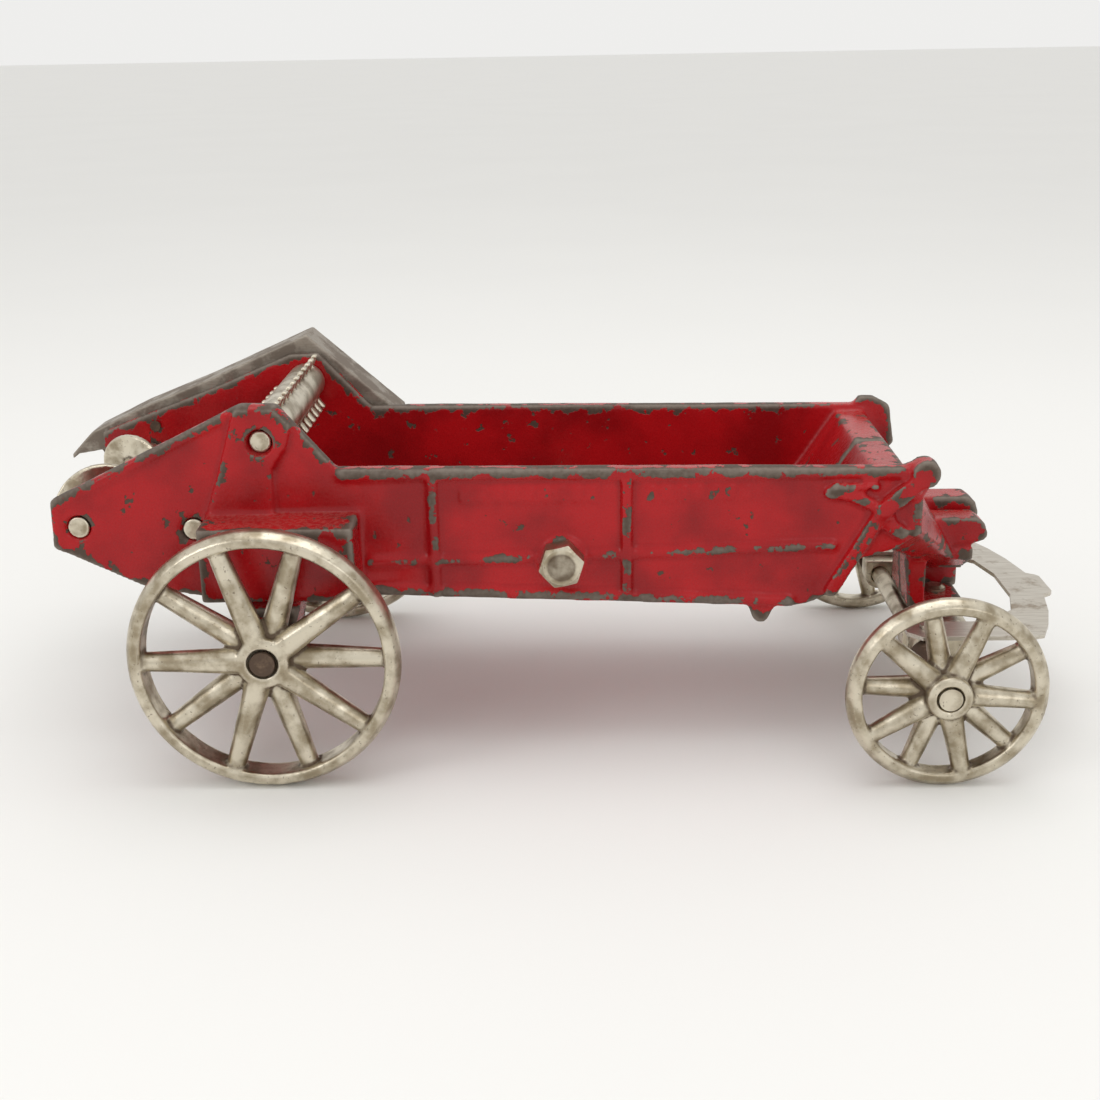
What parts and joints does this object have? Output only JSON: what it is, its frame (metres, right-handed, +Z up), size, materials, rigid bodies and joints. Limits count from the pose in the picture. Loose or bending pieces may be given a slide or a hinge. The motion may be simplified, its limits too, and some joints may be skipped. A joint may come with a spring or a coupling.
{
  "type": "toy spreader wagon",
  "caption": "Cast-iron toy farm spreader wagon: open box, geared toothed beaters and spiral at the back, steering front truck with a hitch bow, spoked wheels.",
  "frame": {"origin": "on the floor, in the middle of the wagon's footprint", "axes": "+X the way the wagon is drawn, +Y towards the drive guard's side, +Z up"},
  "size_m": [0.2422, 0.1114, 0.0827],
  "materials": {
    "red_enamel": "worn glossy red enamel over cast iron, chipped to bare iron on the edges",
    "nickel_plate": "worn warm nickel plate over cast iron, brown in the hollows",
    "bare_sheet": "bare grey-brown sheet steel",
    "bright_steel": "brushed flat steel",
    "dark_steel": "brown oxidised steel"
  },
  "bodies": {
    "wagon_body": {"right_side_casting": "red_enamel", "left_side_casting": "red_enamel", "clamp_bolt": "nickel_plate", "clamp_nut": "nickel_plate", "drive_guard": "bare_sheet", "guard_rivets": "dark_steel", "rear_axle": "dark_steel", "kingpin": "nickel_plate", "kingpin_washer": "bright_steel"},
    "left_rear_wheel": {"rear_wheel_left": "nickel_plate", "axle_drive_gear": "nickel_plate"},
    "right_rear_wheel": {"rear_wheel_right": "nickel_plate"},
    "main_beater_shaft": {"main_beater": "nickel_plate", "main_beater_gear": "nickel_plate"},
    "upper_beater_shaft": {"upper_beater": "nickel_plate", "upper_beater_gear": "nickel_plate"},
    "spiral_shaft": {"rear_spiral": "nickel_plate", "rear_spiral_gear": "nickel_plate"},
    "truck": {"front_truck": "nickel_plate", "front_axle": "dark_steel", "axle_spacers": "dark_steel", "hitch_bow": "bright_steel", "bow_rivets": "bright_steel"},
    "right_front_wheel": {"front_wheel_right": "nickel_plate"},
    "left_front_wheel": {"front_wheel_left": "nickel_plate"}
  },
  "joints": [
    {"name": "left_rear_wheel_spin", "type": "hinge", "parent": "wagon_body", "child": "left_rear_wheel", "pos_m": [-0.05746, 0, 0.029], "axis": [0, 1, 0], "continuous": true},
    {"name": "right_rear_wheel_spin", "type": "hinge", "parent": "wagon_body", "child": "right_rear_wheel", "pos_m": [-0.05746, 0, 0.029], "axis": [0, 1, 0], "continuous": true},
    {"name": "main_beater_spin", "type": "hinge", "parent": "wagon_body", "child": "main_beater_shaft", "pos_m": [-0.07455, 0, 0.05218], "axis": [0, 1, 0], "continuous": true},
    {"name": "upper_beater_spin", "type": "hinge", "parent": "wagon_body", "child": "upper_beater_shaft", "pos_m": [-0.05859, 0, 0.07168], "axis": [0, 1, 0], "continuous": true},
    {"name": "rear_spiral_spin", "type": "hinge", "parent": "wagon_body", "child": "spiral_shaft", "pos_m": [-0.09974, 0, 0.05288], "axis": [0, 1, 0], "continuous": true},
    {"name": "truck_steer", "type": "hinge", "parent": "wagon_body", "child": "truck", "pos_m": [0.09454, 0, 0.0212], "axis": [0, 0, 1], "range_deg": [-22, 22]},
    {"name": "right_front_wheel_spin", "type": "hinge", "parent": "truck", "child": "right_front_wheel", "pos_m": [0.08574, 0, 0.0212], "axis": [0, 1, 0], "continuous": true},
    {"name": "left_front_wheel_spin", "type": "hinge", "parent": "truck", "child": "left_front_wheel", "pos_m": [0.08574, 0, 0.0212], "axis": [0, 1, 0], "continuous": true}
  ],
  "couplings": [
    {"joint": "main_beater_spin", "follows": "left_rear_wheel_spin", "ratio": -0.5},
    {"joint": "upper_beater_spin", "follows": "left_rear_wheel_spin", "ratio": 1.6},
    {"joint": "rear_spiral_spin", "follows": "left_rear_wheel_spin", "ratio": 1.6}
  ]
}
